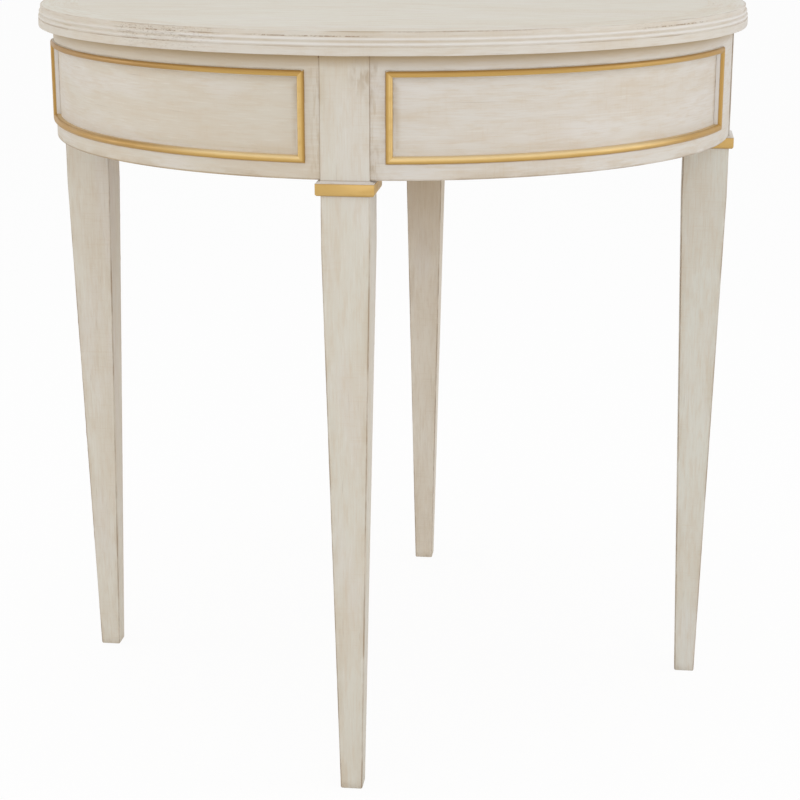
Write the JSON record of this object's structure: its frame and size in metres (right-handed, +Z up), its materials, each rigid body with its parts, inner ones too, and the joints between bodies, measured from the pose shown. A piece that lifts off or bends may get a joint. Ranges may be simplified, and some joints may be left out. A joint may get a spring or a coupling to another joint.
{
  "type": "round occasional table",
  "caption": "Round painted wooden table: moulded top, curved apron with gilt mitred bead frames, and square tapered legs with gilt collars.",
  "frame": {"origin": "on the floor, on the table's vertical centre line", "axes": "+Z up; the front leg is on -Y, the right leg on +X, the rear leg on +Y and the left leg on -X"},
  "size_m": [0.754, 0.754, 0.758],
  "materials": {
    "painted_wood": "brushed off-white paint with brown glaze in the corners",
    "gilt_wood": "satin gold paint",
    "bare_wood": "planed and unpainted",
    "screw_steel": "plain"
  },
  "bodies": {
    "root": {"top_panel": "painted_wood", "top_edge_front_right": "painted_wood", "apron_front_right": "painted_wood", "bead_front_right_upper": "gilt_wood", "bead_front_right_lower": "gilt_wood", "bead_front_right_left": "gilt_wood", "bead_front_right_right": "gilt_wood", "top_button_front_right_1": "bare_wood", "top_button_front_right_2": "bare_wood", "top_edge_rear_right": "painted_wood", "apron_rear_right": "painted_wood", "bead_rear_right_upper": "gilt_wood", "bead_rear_right_lower": "gilt_wood", "bead_rear_right_left": "gilt_wood", "bead_rear_right_right": "gilt_wood", "top_button_rear_right_1": "bare_wood", "top_button_rear_right_2": "bare_wood", "top_edge_rear_left": "painted_wood", "apron_rear_left": "painted_wood", "bead_rear_left_upper": "gilt_wood", "bead_rear_left_lower": "gilt_wood", "bead_rear_left_left": "gilt_wood", "bead_rear_left_right": "gilt_wood", "top_button_rear_left_1": "bare_wood", "top_button_rear_left_2": "bare_wood", "top_edge_front_left": "painted_wood", "apron_front_left": "painted_wood", "bead_front_left_upper": "gilt_wood", "bead_front_left_lower": "gilt_wood", "bead_front_left_left": "gilt_wood", "bead_front_left_right": "gilt_wood", "top_button_front_left_1": "bare_wood", "top_button_front_left_2": "bare_wood", "leg_front": "painted_wood", "collar_front": "gilt_wood", "glue_block_front_left": "bare_wood", "glue_block_front_right": "bare_wood", "leg_right": "painted_wood", "collar_right": "gilt_wood", "glue_block_right_left": "bare_wood", "glue_block_right_right": "bare_wood", "leg_rear": "painted_wood", "collar_rear": "gilt_wood", "glue_block_rear_left": "bare_wood", "glue_block_rear_right": "bare_wood", "leg_left": "painted_wood", "collar_left": "gilt_wood", "glue_block_left_left": "bare_wood", "glue_block_left_right": "bare_wood", "button_screws": "screw_steel"}
  },
  "joints": []
}
